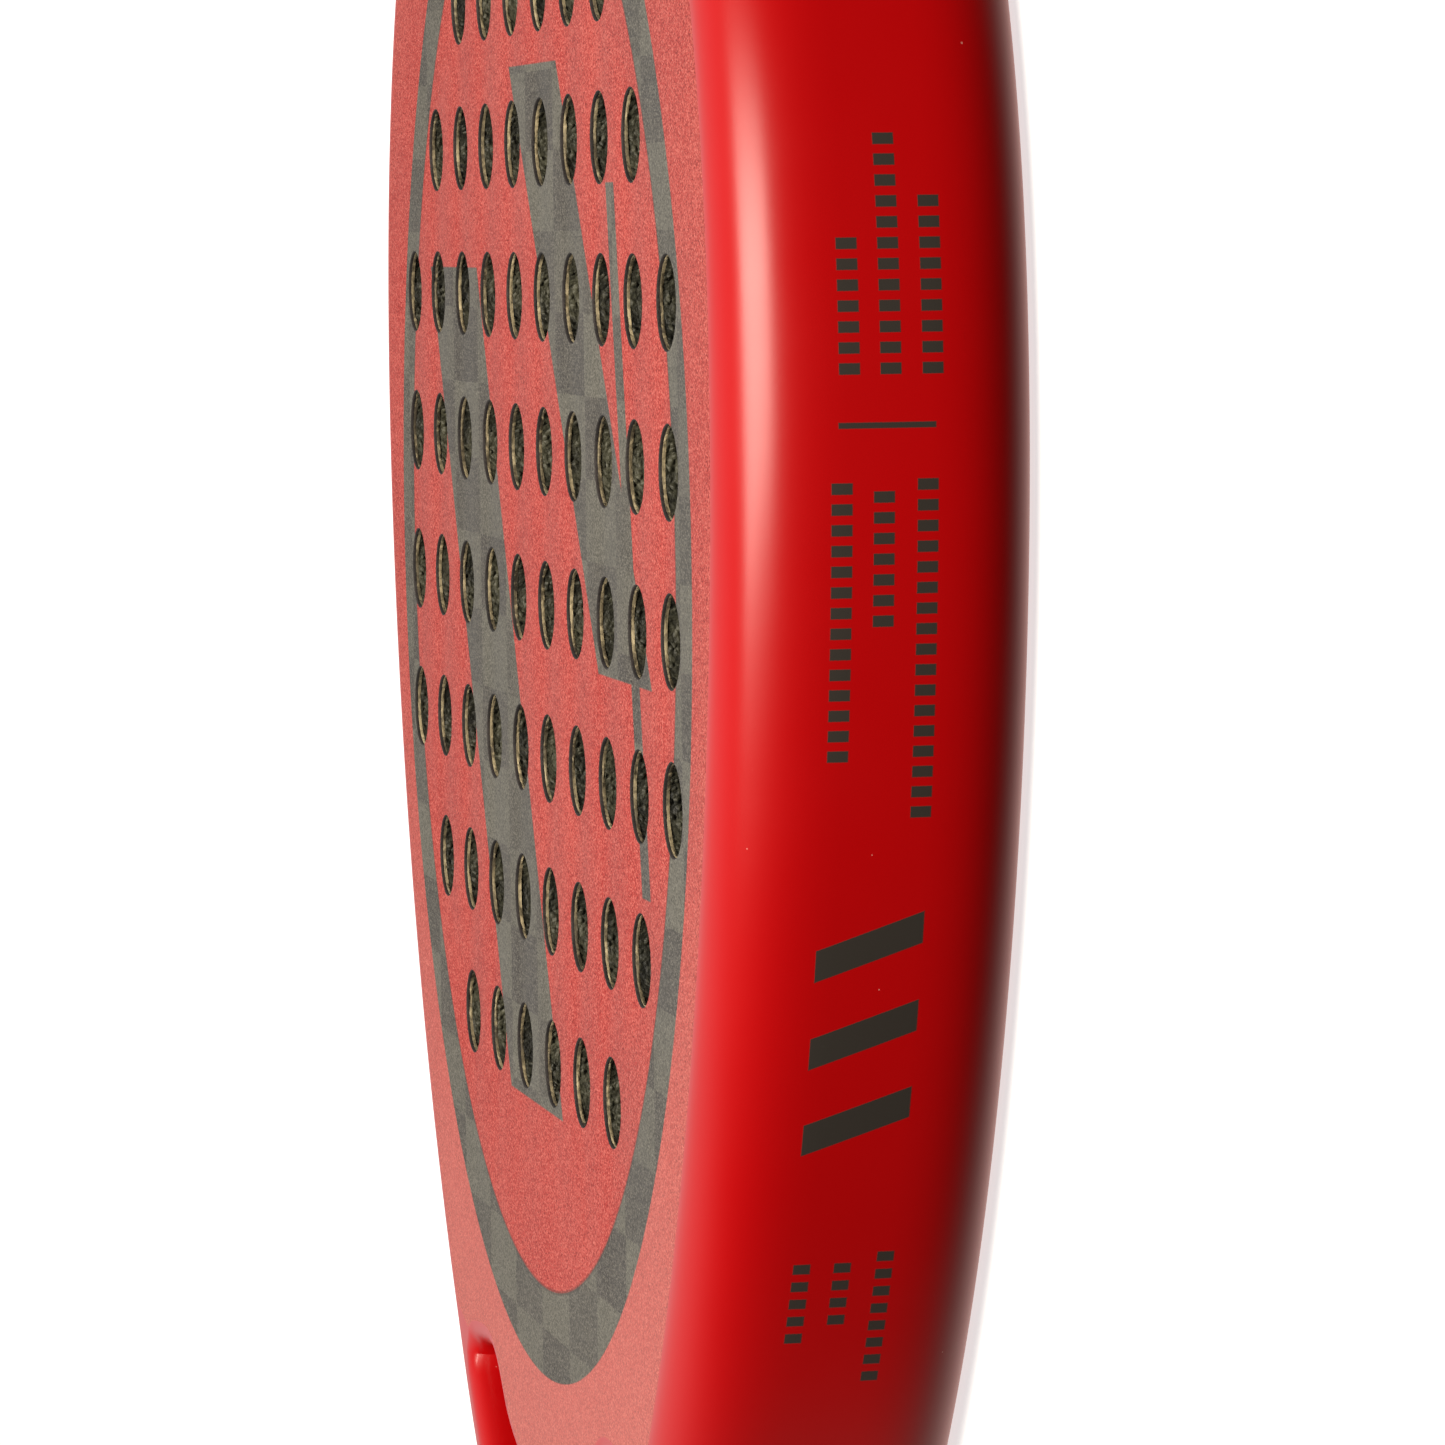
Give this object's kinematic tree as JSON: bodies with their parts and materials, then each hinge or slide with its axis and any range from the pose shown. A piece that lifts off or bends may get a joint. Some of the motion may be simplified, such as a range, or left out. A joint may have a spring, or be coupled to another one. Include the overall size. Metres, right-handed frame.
{
  "type": "padel racket",
  "caption": "Flat perforated racket with a teardrop head, open throat, rounded frame and a short wrapped handle.",
  "frame": {"origin": "centre of the racket's box at the level of its rear face", "axes": "+Z out of the front face, +Y along the handle towards the top of the head, X across the head, symmetric"},
  "size_m": [0.2514, 0.455, 0.038],
  "materials": {
    "lacquer": "satin red lacquer over carbon",
    "sanded_face": "matt sanded red paint with a dark woven band",
    "glass_ply": "raw cut glass laminate",
    "core_foam": "dark closed cell foam",
    "filler_foam": "pale rigid foam",
    "carbon": "bare carbon sleeve",
    "grip": "soft embossed polyurethane wrap",
    "tape": "vinyl finishing tape",
    "collar": "moulded rubber",
    "cap": "fine textured plastic",
    "pin_steel": "plain steel"
  },
  "bodies": {
    "root": {"frame_tube": "lacquer", "frame_foam_right": "filler_foam", "frame_foam_left": "filler_foam", "bridge_tube": "lacquer", "bridge_foam": "filler_foam", "throat_gusset": "lacquer", "core": "core_foam", "front_carbon_ply": "sanded_face", "front_glass_ply": "glass_ply", "rear_carbon_ply": "sanded_face", "rear_glass_ply": "glass_ply", "handle_core": "filler_foam", "handle_sleeve": "carbon", "grip_wrap": "grip", "finishing_tape": "tape", "grip_collar": "collar", "butt_cap": "cap", "cord_eyelet": "collar", "butt_pin_right": "pin_steel", "butt_pin_left": "pin_steel"}
  },
  "joints": []
}
